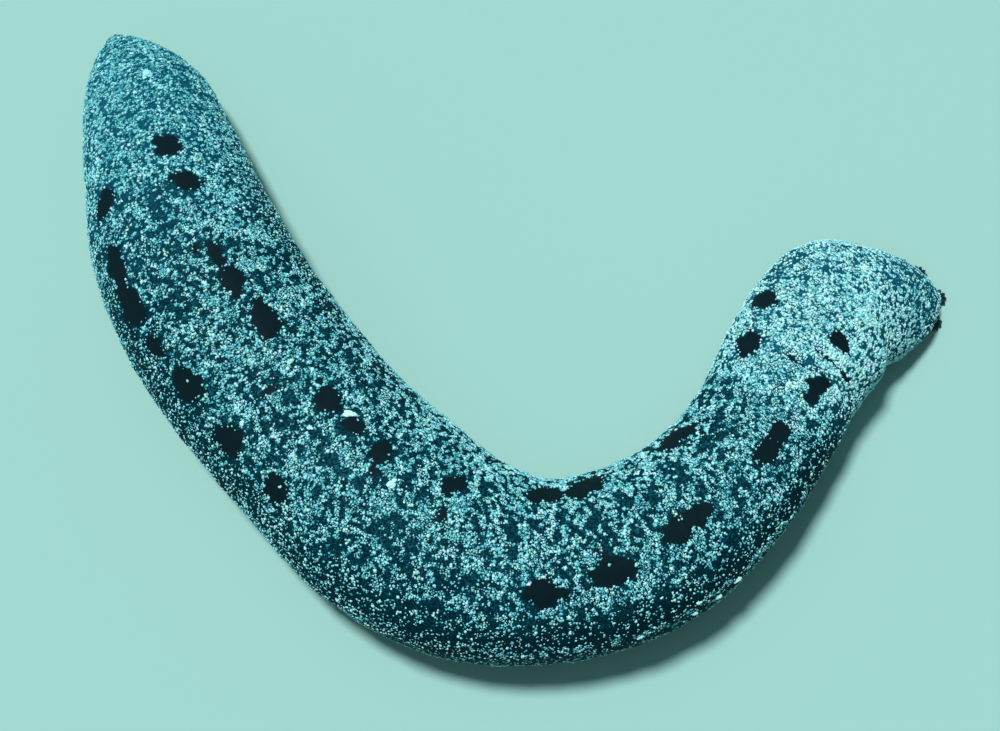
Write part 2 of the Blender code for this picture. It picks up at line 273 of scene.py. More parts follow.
def shapeArrays(bm):
    # Places of the points and the three corners of each face, for a shape that is repeated
    bmesh.ops.triangulate(bm, faces=bm.faces[:])
    bm.verts.ensure_lookup_table()
    verts = np.array([vert.co[:] for vert in bm.verts])
    faces = np.array([[vert.index for vert in face.verts] for face in bm.faces])
    bm.free()
    return verts, faces


def pointAttribute(mesh, name, values):
    layer = mesh.attributes.new(name, "FLOAT", "POINT")
    layer.data.foreach_set("value", np.ascontiguousarray(values, dtype=np.float32).ravel())


def linkPiece(name, mesh, material):
    mesh.materials.append(material)
    piece = addObject(name, mesh)
    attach(piece, "root")
    return piece


def makeFloor():
    bm = bmesh.new()
    bmesh.ops.create_grid(bm, x_segments=1, y_segments=1, size=light["floorSize"] / 2)
    mesh = meshOf("floor", bm)
    material = Finish("floor").set(Base_Color=light["floorColour"], Roughness=light["floorRoughness"])
    mesh.materials.append(material)
    floor = addObject("floor", mesh)


# The body's shape, as in the part: x, y, half width and height of back in mm, tail tip first

stations = (
    (-104.2, 86.0, 10.8, 20.0),
    (-93.0, 63.7, 17.6, 28.0),
    (-85.5, 42.5, 21.5, 33.0),
    (-78.5, 22.5, 24.5, 36.5),
    (-68.5, 3.5, 25.5, 38.5),
    (-56.0, -13.7, 25.5, 39.0),
    (-41.6, -30.4, 25.1, 39.0),
    (-25.4, -46.0, 26.0, 39.0),
    (-6.6, -57.2, 24.3, 38.0),
    (15.5, -59.8, 21.7, 35.5),
    (36.0, -53.5, 21.0, 34.0),
    (52.5, -41.0, 19.2, 32.0),
    (65.0, -25.0, 18.2, 30.5),
    (74.5, -8.0, 19.0, 30.0),
    (84.9, 4.2, 20.3, 29.5),
    (98.6, 10.6, 18.7, 28.5),
    (115.0, 13.5, 20.5, 27.0),
)
body = {
    "boxCentre": (3.3, 2.6, 0.0, 0.0),
    "curveSteps": 24,
    "directionReach": 5.0 * mm,
    "widestShare": 0.42,
    "upperSquare": 2.1,
    "lowerSquare": 4.4,
    "soleHeight": 1.2 * mm,
    "tailDome": 26.0 * mm,
    "tailBlunt": 2.1,
    "tailTipHeight": 9.5 * mm,
    "tailCut": 0.9 * mm,
    "hoodStart": 34.0 * mm,
    "hoodFull": 12.0 * mm,
    "hoodWidestShare": 0.2,
    "hoodSquare": 1.6,
    "hoodSoleHeight": 4.8 * mm,
    "hoodSoleStart": 46.0 * mm,
    "hoodSoleFull": 28.0 * mm,
    "headDome": 26.0 * mm,
    "headBlunt": 1.35,
    "headSlope": 32.0 * mm,
    "headSlopeSquare": 1.5,
    "rimHeight": 5.6 * mm,
    "headCut": 0.2 * mm,
    "rightBlunt": 1.7,  # the hood turns to the animal's right
    "creaseToRim": 27.0 * mm,
    "creaseLength": 8.0 * mm,
    "creaseShare": 0.13,
    "neckFromRim": 56.0 * mm,
    "folds": 5,
    "foldStep": 4.6 * mm,
    "firstFold": 0.7,  # in steps from the neck's rear end
    "foldUneven": 0.4,
    "foldTurn": 2.3,
    "foldDepth": 0.8 * mm,
    "foldHalfWidth": 0.9 * mm,
}


def curvePoint(before, here, after, beyond, share):
    bend = (2 * before - 5 * here + 4 * after - beyond) * share ** 2
    turn = (3 * here - before - 3 * after + beyond) * share ** 3
    return 0.5 * (2 * here + (after - before) * share + bend + turn)


def middleLine():
    rows = [(Vector(row) - Vector(body["boxCentre"])) * mm for row in stations]
    rows = [2 * rows[0] - rows[1]] + rows + [2 * rows[-1] - rows[-2]]
    steps = body["curveSteps"]
    values = []
    for i in range(1, len(rows) - 2):
        for k in range(steps):
            values.append(curvePoint(rows[i - 1], rows[i], rows[i + 1], rows[i + 2], k / steps))
    values.append(rows[-2])
    lengths = [0.0]
    for low, high in zip(values, values[1:]):
        lengths.append(lengths[-1] + (high.xy - low.xy).length)
    return lengths, values


lineLengths, lineValues = middleLine()
bodyLength = lineLengths[-1]
neckStart = bodyLength - body["neckFromRim"]


def valuesAt(place):
    i = min(max(bisect(lineLengths, place), 1), len(lineLengths) - 1)
    share = (place - lineLengths[i - 1]) / (lineLengths[i] - lineLengths[i - 1])
    return lineValues[i - 1].lerp(lineValues[i], share)


def directionsAt(place):
    reach = body["directionReach"]
    step = valuesAt(place + reach).xy - valuesAt(place - reach).xy
    forward = Vector((step.x, step.y, 0)).normalized()
    return forward, Vector((forward.y, -forward.x, 0))  # the second is the animal's right


def dome(distance, length, square):
    share = 1 - min(max(distance / length, 0.0), 1.0)
    return (1 - share ** square) ** (1 / square)


def ease(value, low, high):
    share = np.clip((value - low) / (high - low), 0.0, 1.0)
    return share * share * (3 - 2 * share)


def towards(low, high, share):
    return low + (high - low) * share


def sectionAt(place):
    # Half width, heights of back, widest line and sole, and the squareness of the upper half
    row = valuesAt(place)
    toRim = bodyLength - place
    hood = 1 - ease(toRim, body["hoodFull"], body["hoodStart"])
    tail = dome(place, body["tailDome"], body["tailBlunt"])
    plan = dome(toRim, body["headDome"], body["headBlunt"])
    rise = dome(toRim, body["headSlope"], body["headSlopeSquare"])
    half = row.z * tail * plan
    lifted = 1 - ease(toRim, body["hoodSoleFull"], body["hoodSoleStart"])
    sole = towards(body["rimHeight"], towards(body["soleHeight"], body["hoodSoleHeight"], lifted), plan)
    sole = towards(body["tailTipHeight"], sole, tail)
    back = towards(body["tailTipHeight"], towards(body["rimHeight"], row.w, rise), tail)
    share = towards(body["widestShare"], body["hoodWidestShare"], hood)
    square = towards(body["upperSquare"], body["hoodSquare"], hood)
    return half, back, towards(sole, back, share), sole, square


def rightShare(place):
    # Half width on the animal's right as a share of that on its left
    toRim = bodyLength - place
    fuller, plain = (dome(toRim, body["headDome"], body[name]) for name in ("rightBlunt", "headBlunt"))
    offset = (toRim - body["creaseToRim"]) / body["creaseLength"]
    return fuller / plain * (1 - body["creaseShare"] * math.exp(-offset * offset))


def foldAt(place):
    depth = 0.0
    for i in range(body["folds"]):
        offset = (place - neckStart - (i + body["firstFold"]) * body["foldStep"]) / body["foldHalfWidth"]
        size = 1 - body["foldUneven"] + body["foldUneven"] * math.cos(body["foldTurn"] * i)
        depth += math.exp(-offset * offset) * size
    return body["foldDepth"] * depth


# The skin's grid: rings from tail to rim, each from the middle of the sole round by the right flank

skin = {
    "rings": 470,
    "sides": 210,
    "ringSearch": 4000,  # fine places, from which the even ones are read
    "sideSearch": 1441,
    "coatDepth": 0.35 * mm,
    "lumps": (6.0 * mm, 0.0),  # size, and an offset that picks another part of the noise
    "lumpDepth": 0.30 * mm,
    "creases": (2.2 * mm, 7.3),
    "creaseDepth": 0.16 * mm,
    "creaseStretch": 2.6,  # creases run across the body
    "creaseSharp": 3,
    "mouthFromRim": 18.0 * mm,
    "mouthRadius": 10.0 * mm,
    "mouthWall": 1.6 * mm,
    "mouthHeight": 10.6 * mm,
    "gapColour": (0.0002, 0.0160, 0.0260, 1),
    "filmColour": (0.0024, 0.0680, 0.1120, 1),
    "dustColour": (0.015, 0.25, 0.33, 1),
    "bareColour": (0.0036, 0.0135, 0.0185, 1),
    "specks": (2300, 2, 0.6),  # scale, detail and roughness
    "specksRange": (0.45, 0.61),
    "drifts": (700, 3, 0.55),
    "driftsRange": (0.35, 0.75),
    "dustShare": (0.22, 0.55),  # outside the drifts, and how much more inside them
    "bumps": (1500, 4, 0.65),
    "bumpDepth": 0.10 * mm,
    "bumpStrength": 0.5,
    "roughness": 0.62,
    "bareSmoother": 0.14,
    "gloss": 0.02,
}


def addedUp(steps):
    return np.concatenate(([0.0], np.cumsum(steps)))


def ringPlaces(count):
    # Places along the line at even steps over the surface, so rings crowd where the ends turn in
    fine = np.linspace(body["tailCut"], bodyLength - body["headCut"], skin["ringSearch"])
    edges = []
    for place in fine:
        half, back, widest, sole, _ = sectionAt(place)
        centre = valuesAt(place)
        _, side = directionsAt(place)
        middle = Vector((centre.x, centre.y, widest))
        top = Vector((centre.x, centre.y, back))
        edges.append([middle + side * (half * rightShare(place)), middle - side * half, top])
    edges = np.array(edges)
    travelled = addedUp(np.linalg.norm(np.diff(edges, axis=0), axis=2).max(axis=1))
    return np.interp(np.linspace(0, travelled[-1], count), travelled, fine)


def ringOutline(place, count):
    # Places across and heights at even steps round the section from its foot, and the girth
    half, back, widest, sole, square = sectionAt(place)
    angles = np.linspace(-math.pi / 2, 1.5 * math.pi, skin["sideSearch"])
    across, up = np.cos(angles), np.sin(angles)
    half = np.where(across > 0, half * rightShare(place), half)
    tall = np.where(up > 0, back - widest, widest - sole)
    power = np.where(up > 0, square, body["lowerSquare"])
    radius = ((np.abs(across) / half) ** power + (np.abs(up) / tall) ** power) ** (-1 / power)
    lifts = foldAt(place) * np.clip(up, 0, 1) ** 0.5 * np.minimum(half / tall, 1.0)
    radius -= np.where(up > 0, lifts, 0)
    x, z = radius * across, radius * up
    travelled = addedUp(np.hypot(np.diff(x), np.diff(z)))
    wanted = np.linspace(0, travelled[-1], count + 1)
    return np.interp(wanted, travelled, x), np.interp(wanted, travelled, z) + widest, travelled[-1]


def gridNormals(points):
    along = np.gradient(points, axis=0)
    ring = points[:, :-1]
    around = np.roll(ring, -1, axis=1) - np.roll(ring, 1, axis=1)
    around = np.concatenate((around, around[:, :1]), axis=1)
    normals = np.cross(along, around)
    lengths = np.linalg.norm(normals, axis=2, keepdims=True)
    return normals / np.maximum(lengths, leastLength)


def noiseOver(points, size, offset):
    flat = points.reshape(-1, 3) / size + offset
    values = np.array([noise.noise(Vector(row)) for row in flat.tolist()])
    return values.reshape(points.shape[:-1])


def noiseAcross(along, around, stretch, size, offset):
    # The same on the flattened skin, in streaks that run across the body
    return noiseOver(np.stack((along * stretch, around, 0 * along), axis=-1), size, offset)


def skinGrid():
    places = ringPlaces(skin["rings"] + 1)
    points = np.zeros((skin["rings"] + 1, skin["sides"] + 1, 3))
    girths = np.zeros(skin["rings"] + 1)
    for i, place in enumerate(places):
        across, up, girths[i] = ringOutline(place, skin["sides"])
        centre = valuesAt(place)
        _, side = directionsAt(place)
        points[i, :, 0] = centre.x + side.x * across
        points[i, :, 1] = centre.y + side.y * across
        points[i, :, 2] = up
    normals = gridNormals(points)
    # Straight coordinates on the surface: along the line, and round from the middle of the sole
    along = np.repeat(places[:, None], skin["sides"] + 1, axis=1)
    around = girths[:, None] * np.linspace(0, 1, skin["sides"] + 1)[None, :]
    return {"points": points, "normals": normals, "along": along, "around": around}


def mouthCentre():
    centre = valuesAt(bodyLength - skin["mouthFromRim"])
    return Vector((centre.x, centre.y, 0))


def setIn(grid):
    # Sets the skin in by the coat's depth, with lumps and with creases across the body
    points, normals = grid["points"], grid["normals"]
    lumps = noiseOver(points, *skin["lumps"])
    (size, offset), stretch = skin["creases"], skin["creaseStretch"]
    streaks = noiseAcross(grid["along"], grid["around"], stretch, size * stretch, offset)
    creases = np.clip(1 - skin["creaseSharp"] * np.abs(streaks), 0, 1) ** 2
    depth = skin["coatDepth"] + skin["lumpDepth"] * (0.5 - lumps) + skin["creaseDepth"] * creases
    placed = points - normals * depth[..., None]
    placed[:, -1] = placed[:, 0]
    for end in (0, -1):
        placed[end] = placed[end].mean(axis=0)
    return placed


def hollowMouth(grid, placed):
    # Lifts the underside of the hood over the mouth
    mouth = mouthCentre()
    away = np.hypot(placed[..., 0] - mouth.x, placed[..., 1] - mouth.y)
    radius, wall = skin["mouthRadius"], skin["mouthWall"]
    inside = 1 - ease(away, radius - wall, radius + wall)
    lift = np.maximum(inside * (skin["mouthHeight"] - placed[..., 2]), 0)
    placed[..., 2] += np.where(grid["normals"][..., 2] < 0, lift, 0)


def surfaceTree(points):
    corners = np.arange(points.shape[0] * points.shape[1]).reshape(points.shape[:2])
    faces = np.stack((corners[:-1, :-1], corners[1:, :-1], corners[1:, 1:], corners[:-1, 1:]), axis=-1)
    return BVHTree.FromPolygons(points.reshape(-1, 3).tolist(), faces.reshape(-1, 4).tolist())


def shapeSkin(grid):
    placed = setIn(grid)
    hollowMouth(grid, placed)
    grid["points"] = placed
    grid["normals"] = gridNormals(placed)
    grid["tree"] = surfaceTree(placed)


# Bare black patches: place in the photo, width and height as seen in mm, and turn in degrees

barePatches = {
    "inner1": ((168, 145), (7.9, 5.4), -25),
    "inner2": ((187, 181), (8.8, 5.4), -18),
    "inner3neck": ((217, 256), (8.5, 3.6), -60),
    "inner3": ((233, 280), (9.0, 6.4), -58),
    "inner4": ((264, 321), (11.5, 7.2), -58),
    "inner5": ((328, 399), (7.4, 7.2), -30),
    "inner6": ((355, 426), (5.7, 4.3), -20),
    "inner7": ((382, 451), (7.0, 5.6), 55),
    "inner7tail": ((374, 468), (4.2, 2.6), 70),
    "inner8": ((448, 487), (5.2, 4.6), 60),
    "inner8side": ((460, 484), (3.6, 4.8), 0),
    "inner9": ((545, 495), (10.5, 4.2), -4),
    "inner9side": ((586, 487), (11.5, 4.0), 27),
    "inner10": ((678, 436), (13.0, 3.4), 33),
    "inner11": ((748, 345), (6.6, 6.2), 30),
    "inner12": ((764, 299), (8.0, 4.6), 28),
    "outer1": ((104, 204), (9.6, 3.7), 70),
    "outer2top": ((116, 265), (11.5, 4.4), -82),
    "outer2": ((130, 304), (13.0, 6.2), -62),
    "outer3": ((154, 346), (7.2, 3.8), -65),
    "outer4": ((187, 385), (10.0, 7.0), -60),
    "outer5": ((230, 440), (8.2, 6.6), -55),
    "outer6": ((277, 490), (8.4, 5.6), -60),
    "outer7": ((544, 593), (12.8, 7.4), -4),
    "outer8": ((613, 571), (13.2, 8.4), 8),
    "outer9low": ((677, 532), (7.4, 7.4), 30),
    "outer9high": ((698, 514), (9.4, 6.2), 35),
    "outer10low": ((768, 450), (8.4, 6.0), 40),
    "outer10high": ((780, 432), (6.4, 5.2), 50),
    "outer11": ((819, 384), (6.8, 5.2), 20),
    "outer11low": ((811, 396), (4.2, 4.2), 60),
    "outer12": ((840, 341), (7.6, 5.0), -68),
    "neckFoldRear": ((797, 362), (6.4, 1.0), -38),
    "neckFold": ((831, 362), (9.6, 1.0), -40),
    "neckFoldLow": ((846, 378), (4.6, 1.5), -52),
    "mark1": ((195, 249), (3.2, 2.0), 80),
    "mark2": ((270, 390), (3.4, 2.2), 30),
    "mark3": ((442, 514), (4.6, 2.6), 80),
}
# Places where the sand lies thin
thinPatches = {
    "neckInner": ((798, 257), (7.0, 3.2), 15),
    "neckInnerLow": ((775, 274), (5.6, 4.2), 40),
    "neckInnerHigh": ((799, 277), (6.4, 2.2), 8),
    "bendLeft": ((452, 588), (9.0, 4.0), 0),
    "bendMiddle": ((486, 584), (7.0, 3.4), 0),
}
# Thin ridges where the sand lies thick and pale
paleRidges = {
    "neckRear": ((798, 357), (7.6, 1.5), -34),
    "neckFront": ((834, 357), (10.5, 1.5), -40),
    "neckLow": ((788, 386), (11.0, 1.4), 17),
    "trunkFront": ((793, 426), (6.0, 1.0), -28),
}
patchEdge = {
    "wobble": 0.40,
    "wobbleNoise": (2.6 * mm, 3.1),
    "fineWobble": 0.16,
    "fineWobbleNoise": (0.9 * mm, 5.7),
    "softness": 0.16,
    "castStep": 4,  # pixels
    "mmPerPixel": 0.27,
}


def castSpot(camera, grid, spot):
    # Row and column of the skin's grid under a place in the photo, or None off the body
    start, direction = pixelRay(camera, spot)
    hit, _, face, _ = grid["tree"].ray_cast(start, direction)
    if hit is None:
        return None
    row, column = divmod(face, skin["sides"])
    points = grid["points"]
    corner = points[row, column]
    steps = np.stack((points[row + 1, column] - corner, points[row, column + 1] - corner), axis=1)
    shares, *_ = np.linalg.lstsq(steps, np.array(hit) - corner, rcond=None)
    shares = np.clip(shares, 0, 1)
    return np.float64(row + shares[0]), np.float64(column + shares[1])


def readGrid(values, row, column):
    # Value of a grid at places between its points
    i = np.clip(np.floor(row).astype(int), 0, values.shape[0] - 2)
    j = np.clip(np.floor(column).astype(int), 0, values.shape[1] - 2)
    u, v = row - i, column - j
    if values.ndim == 3:
        u, v = u[..., None], v[..., None]
    low = values[i, j] * (1 - v) + values[i, j + 1] * v
    high = values[i + 1, j] * (1 - v) + values[i + 1, j + 1] * v
    return low * (1 - u) + high * u


def patchMask(camera, grid, patches):
    # 1 inside the patches and 0 outside, over the whole grid
    step = patchEdge["castStep"]
    wobble = patchEdge["wobble"] * noiseOver(grid["points"], *patchEdge["wobbleNoise"])
    wobble += patchEdge["fineWobble"] * noiseOver(grid["points"], *patchEdge["fineWobbleNoise"])
    mask = np.zeros(grid["along"].shape)
    for name, (spot, size, turn) in patches.items():
        x, y = spot
        crossed = ((x, y), (x - step, y), (x + step, y), (x, y - step), (x, y + step))
        found = [castSpot(camera, grid, near) for near in crossed]
        if None in found:
            print("patch off the body:", name)
            continue
        flat = [[readGrid(grid[key], *near) for key in ("along", "around")] for near in found]
        middle, left, right, high, low = np.array(flat)
        perPixel = np.stack(((right - left) / (2 * step), (low - high) / (2 * step)), axis=1)
        offset = np.stack((grid["along"] - middle[0], grid["around"] - middle[1]), axis=-1)
        pixels = offset @ np.linalg.inv(perPixel).T
        angle = math.radians(turn)
        wide = pixels[..., 0] * math.cos(angle) - pixels[..., 1] * math.sin(angle)
        tall = pixels[..., 0] * math.sin(angle) + pixels[..., 1] * math.cos(angle)
        halfWide, halfTall = (length / 2 / patchEdge["mmPerPixel"] for length in size)
        reach = np.hypot(wide / halfWide, tall / halfTall) * (1 + wobble)
        mask = np.maximum(mask, 1 - ease(reach, 1 - patchEdge["softness"], 1 + patchEdge["softness"]))
    return mask


# How much of the skin the sand covers

cover = {
    # Length from the tail tip in mm, and the share of the back that is covered
    "back": (
        (0, 0.72), (30, 0.68), (45, 0.60), (60, 0.54), (95, 0.56), (110, 0.60), (140, 0.62),
        (160, 0.58), (180, 0.55), (200, 0.55), (225, 0.57), (250, 0.60), (266, 0.68), (278, 0.84),
        (292, 0.89), (302, 0.84), (309, 0.68), (322, 0.62), (332, 0.68),
    ),
    # The same for the flank outside the bend and the flank inside it, as a share of the back's
    "outer": (
        (0, 0.92), (35, 0.82), (55, 0.74), (75, 0.62), (100, 0.42), (150, 0.46), (170, 0.40), (200, 0.36),
        (215, 0.24), (262, 0.20), (276, 0.48), (288, 0.76), (300, 0.68), (332, 0.74),
    ),
    "inner": (
        (0, 0.95), (40, 0.80), (62, 0.42), (95, 0.32), (120, 0.70), (150, 0.88), (185, 0.85), (215, 0.75),
        (265, 0.80), (285, 0.78), (332, 0.80),
    ),
    "outerTilt": (0.56, 0.95),  # the surface's lift where a flank's share is whole, and where it starts
    "innerTilt": (0.25, 0.97),
    "film": ((0, 1.0), (35, 0.9), (70, 0.25), (90, 0.0), (262, 0.0), (280, 1.0), (332, 0.9)),  # blue dust
    "under": 0.05,
    "underTilt": (-0.55, -0.05),
    "sideEdge": (0.94, 1.06),  # half girths from the sole to where the sides meet on the back
    "drifts": (13.0 * mm, 11.9),
    "driftChange": 0.28,
    "thinShare": 0.45,
    "foldShadeShare": 0.45,  # sand left out of the bottoms of the neck's folds, so the dark skin shows there as painted shade
    "foldInner": 0.35,  # how much of that shows inside the bend
    "ridgeShare": 0.97,
    "fringeShare": 0.82,  # a line of sand along the edge of the outer flank
    "fringeTilt": (0.22, 0.34, 0.40, 0.52),
    "fringeAlong": (170.0 * mm, 266.0 * mm),
    "fringeFade": 20 * mm,
    "fringeMiddle": 0.62,
    "fringeBreaks": 1.5,
    "fringeNoise": (4.0 * mm, 6.3),
}


def profileAt(along, rows):
    return np.interp(along, [row[0] * mm for row in rows], [row[1] for row in rows])


def outerSide(grid):
    # 1 on the animal's right, outside the bend, and 0 on its left
    middle = grid["around"][:, -1:] / 2
    return 1 - ease(grid["around"] / middle, *cover["sideEdge"])


def fringeOver(grid, outer):
    # A narrow broken line along the outer flank
    along, lift = grid["along"], grid["normals"][..., 2]
    band = ease(lift, *cover["fringeTilt"][:2]) * (1 - ease(lift, *cover["fringeTilt"][2:]))
    (start, stop), fade = cover["fringeAlong"], cover["fringeFade"]
    run = ease(along, start, start + fade) * (1 - ease(along, stop - fade, stop))
    breaks = cover["fringeBreaks"] * noiseOver(grid["points"], *cover["fringeNoise"])
    return band * run * np.clip(cover["fringeMiddle"] + breaks, 0, 1) * outer


def coverOver(grid, bare, thin, pale):
    along, lift = grid["along"], grid["normals"][..., 2]
    outer = outerSide(grid)
    share = profileAt(along, cover["back"])
    flank = outer * profileAt(along, cover["outer"]) + (1 - outer) * profileAt(along, cover["inner"])
    upright = outer * ease(lift, *cover["outerTilt"]) + (1 - outer) * ease(lift, *cover["innerTilt"])
    share = share * towards(flank, 1, upright)
    share *= 1 + cover["driftChange"] * noiseOver(grid["points"], *cover["drifts"])
    folds = np.array([foldAt(place) for place in along[:, 0]])[:, None] / body["foldDepth"]
    # Painted shade: less sand, so darker skin, in the bottoms of the neck's folds
    share *= 1 - cover["foldShadeShare"] * np.clip(folds, 0, 1) * towards(cover["foldInner"], 1, outer)
    share = towards(cover["under"], share, ease(lift, *cover["underTilt"]))
    share *= 1 - thin * (1 - cover["thinShare"])
    share = np.maximum(share, cover["fringeShare"] * fringeOver(grid, outer))
    share = np.maximum(share, cover["ridgeShare"] * pale)
    return np.clip(share, 0, 1) * (1 - bare)


def skinFinish():
    finish = Finish("skin")
    bare, dust = finish.attribute("bare"), finish.attribute("dust")
    gaps = finish.blend(finish.attribute("film"), skin["gapColour"], skin["filmColour"])
    least, more = skin["dustShare"]
    dusty = dust * finish.patchy(skin, "specks") * (finish.patchy(skin, "drifts") * more + least)
    colour = finish.blend(bare, finish.blend(dusty, gaps, skin["dustColour"]), skin["bareColour"])
    return finish.soft(skin, colour, skin["roughness"] - skin["bareSmoother"] * bare)


def makeSkin(grid, bare, dust, film):
    rows, columns = skin["rings"], skin["sides"]
    bm = bmesh.new()
    bm.loops.layers.uv.new("OFBake")
    bmesh.ops.create_grid(bm, x_segments=rows, y_segments=columns, size=0.5, calc_uvs=True)
    mesh = meshOf("skin", bm)
    # The flat grid is one unit wide, so a point's place in it gives its row and column
    flat = np.zeros(len(mesh.vertices) * 3, np.float32)
    mesh.vertices.foreach_get("co", flat)
    flat = flat.reshape(-1, 3)
    i = np.rint((flat[:, 0] + 0.5) * rows).astype(int)
    j = np.rint((flat[:, 1] + 0.5) * columns).astype(int)
    mesh.vertices.foreach_set("co", grid["points"][i, j].astype(np.float32).ravel())
    for name, values in (("bare", bare), ("dust", dust), ("film", film)):
        pointAttribute(mesh, name, values[i, j])
    bm = bmesh.new()
    bm.from_mesh(mesh)
    bmesh.ops.remove_doubles(bm, verts=bm.verts[:], dist=mergeReach)
    faceOut(bm)
    bm.to_mesh(mesh)
    bm.free()
    mesh.shade_smooth()
    piece = linkPiece("skin", mesh, skinFinish())
    flesh = [name for name in frame["nodes"] if name not in ("mouth_crown", "vent_rim")]
    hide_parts(*flesh)


# Sand: faceted grains, sunk into the skin

sand = {
    "cell": 0.43 * mm,
    "shake": 0.9,  # of a cell
    "rowMargin": 0.001,  # rows kept clear of the rim's last ring
    "middleSize": 0.58 * mm,  # a grain's width
    "spread": 0.30,
    "leastSize": 0.34 * mm,
    "mostSize": 1.25 * mm,
    # Length from the tail tip in mm, and how large the grains are, how evenly they lie, and how pale
    "sizes": ((0, 1.25), (55, 1.18), (85, 1.0), (262, 1.0), (280, 1.15), (308, 1.12), (318, 0.98)),
    "even": ((0, 1.0), (50, 0.9), (85, 0.0), (262, 0.0), (280, 1.0)),
    "tones": (
        (0, 0.48), (35, 0.52), (60, 0.58), (110, 0.62), (262, 0.62), (280, 0.77), (310, 0.76),
        (318, 0.66), (332, 0.68),
    ),
    "uneven": (0.8, 1.2),  # each way across a grain
    "flatness": 0.48,
    "tilt": 0.22,
    "sunk": 0.10,
    "clumpShare": (0.18, 0.50),  # shares of cover where grains lie loose, and where they clump
    "clumpMost": 0.95,
    "largeClumps": (3.4 * mm, 9.1),
    "streaks": (4.8 * mm, 4.4),
    "streakStretch": 2.8,
    "trunkClumps": (1.25 * mm, 1.7),
    "trunkAdds": (0.46, 0.26),  # large clumps and streaks
    "endClumps": (0.95 * mm, 2.9),
    "endAdds": (0.30, 0.14),
    "toneSpread": 0.14,
    "leastTone": 0.02,
    "ridgeTone": 0.34,  # added on the neck's ridges
    "tonePatch": 0.16,
    "toneNoise": (2.0 * mm, 21.7),
    "toneBySize": 0.10,
    "toneByRank": 0.16,  # palest in the middle of a clump
    "evenRank": 0.4,
    "tintMiddle": 0.5,
    "tintSpread": 0.22,
    "tintPatch": 0.45,
    "tintNoise": (2.6 * mm, 33.1),
    "shapes": 8,
    "corners": (0.72, 1.2),  # how far each stands out
    "squash": (0.85, 1.15),
    "patch": 0.003,  # across a grain in the bake's map
    "mostInPiece": 24000,
    "seed": 21,
    "colours": (
        (0.0, (0.003, 0.080, 0.125, 1)),
        (0.35, (0.036, 0.310, 0.390, 1)),
        (0.70, (0.180, 0.660, 0.720, 1)),
        (1.0, (0.560, 0.960, 0.960, 1)),
    ),
    "tints": (
        (0.0, (1.15, 1.0, 0.78, 1)),
        (0.24, (0.95, 1.0, 1.0, 1)),
        (0.80, (0.95, 1.0, 1.0, 1)),
        (1.0, (1.35, 0.90, 1.05, 1)),
    ),
    "mottle": (3200, 2, 0.5),
    "mottleShare": 0.25,
    "roughness": 0.85,
    "gloss": 0.03,
}


def grainShapes(rng):
    shapes = []
    for _ in range(sand["shapes"]):
        bm = bmesh.new()
        bmesh.ops.create_uvsphere(bm, u_segments=4, v_segments=2, radius=0.5)
        bmesh.ops.triangulate(bm, faces=bm.faces[:])
        for vert in bm.verts:
            vert.co *= rng.uniform(*sand["corners"])
            vert.co.x *= rng.uniform(*sand["squash"])
        bmesh.ops.recalc_face_normals(bm, faces=bm.faces[:])
        shapes.append(shapeArrays(bm))
    return shapes


def turnedAxes(normals, turns):
    # Two directions in the surface and its normal, turned about the normal, for each root
    nearUp = 0.9  # so the helper never lies along the normal
    helper = np.where(np.abs(normals[:, 2:]) < nearUp, (0.0, 0.0, 1.0), (1.0, 0.0, 0.0))
    first = np.cross(normals, helper)
    first /= np.linalg.norm(first, axis=1, keepdims=True)
    second = np.cross(normals, first)
    c, s = np.cos(turns)[:, None], np.sin(turns)[:, None]
    return np.stack((first * c + second * s, second * c - first * s, normals), axis=1)


def tiledMesh(shape, roots, axes, sizes, places, tones, tints):
    # A copy of a shape at each root, each with a small patch of the bake's map to itself
    verts, faces = shape
    count, each = len(roots), len(verts)
    scaled = verts[None] * sizes[:, None, :]
    points = np.einsum("nvk,nkd->nvd", scaled, axes) + roots[:, None, :]
    index = (faces[None] + (np.arange(count) * each)[:, None, None]).reshape(-1, 3)
    flat = places[:, None, :] + (verts[None, :, :2] * sand["patch"])
    tones, tints = np.repeat(tones, each), np.repeat(tints, each)
    return points.reshape(-1, 3), index, flat.reshape(-1, 2), tones, tints


def meshFromParts(name, parts):
    starts = np.cumsum([0] + [len(part[0]) for part in parts[:-1]])
    faces = np.concatenate([part[1] + start for part, start in zip(parts, starts)])
    points, maps, tones, tints = (np.concatenate([part[k] for part in parts]) for k in (0, 2, 3, 4))
    mesh = bpy.data.meshes.new(name)
    mesh.vertices.add(len(points))
    mesh.loops.add(faces.size)
    mesh.polygons.add(len(faces))
    mesh.vertices.foreach_set("co", points.astype(np.float32).ravel())
    mesh.loops.foreach_set("vertex_index", faces.astype(np.int32).ravel())
    mesh.polygons.foreach_set("loop_start", np.arange(0, faces.size, 3, dtype=np.int32))
    mesh.update(calc_edges=True)
    layer = mesh.uv_layers.new(name="OFBake")
    layer.uv.foreach_set("vector", np.clip(maps[faces.ravel()], 0, 1).astype(np.float32).ravel())
    pointAttribute(mesh, "tone", tones)
    pointAttribute(mesh, "tint", tints)
    mesh.validate()
    return mesh


def sandFinish():
    finish = Finish("sand")
    mottle = (finish.noise(*sand["mottle"]) - 0.5) * sand["mottleShare"]
    shade = finish.between(finish.attribute("tone") + mottle, 0.0, 1.0)
    colour, tint = (finish.add("ShaderNodeValToRGB", {"stops": sand[stops]}, {"Fac": value})
                    for stops, value in (("colours", shade), ("tints", finish.attribute("tint"))))
    colour = finish.blend(1.0, colour, tint, "MULTIPLY")
    return finish.set(Base_Color=colour, Roughness=sand["roughness"], Specular_IOR_Level=sand["gloss"])


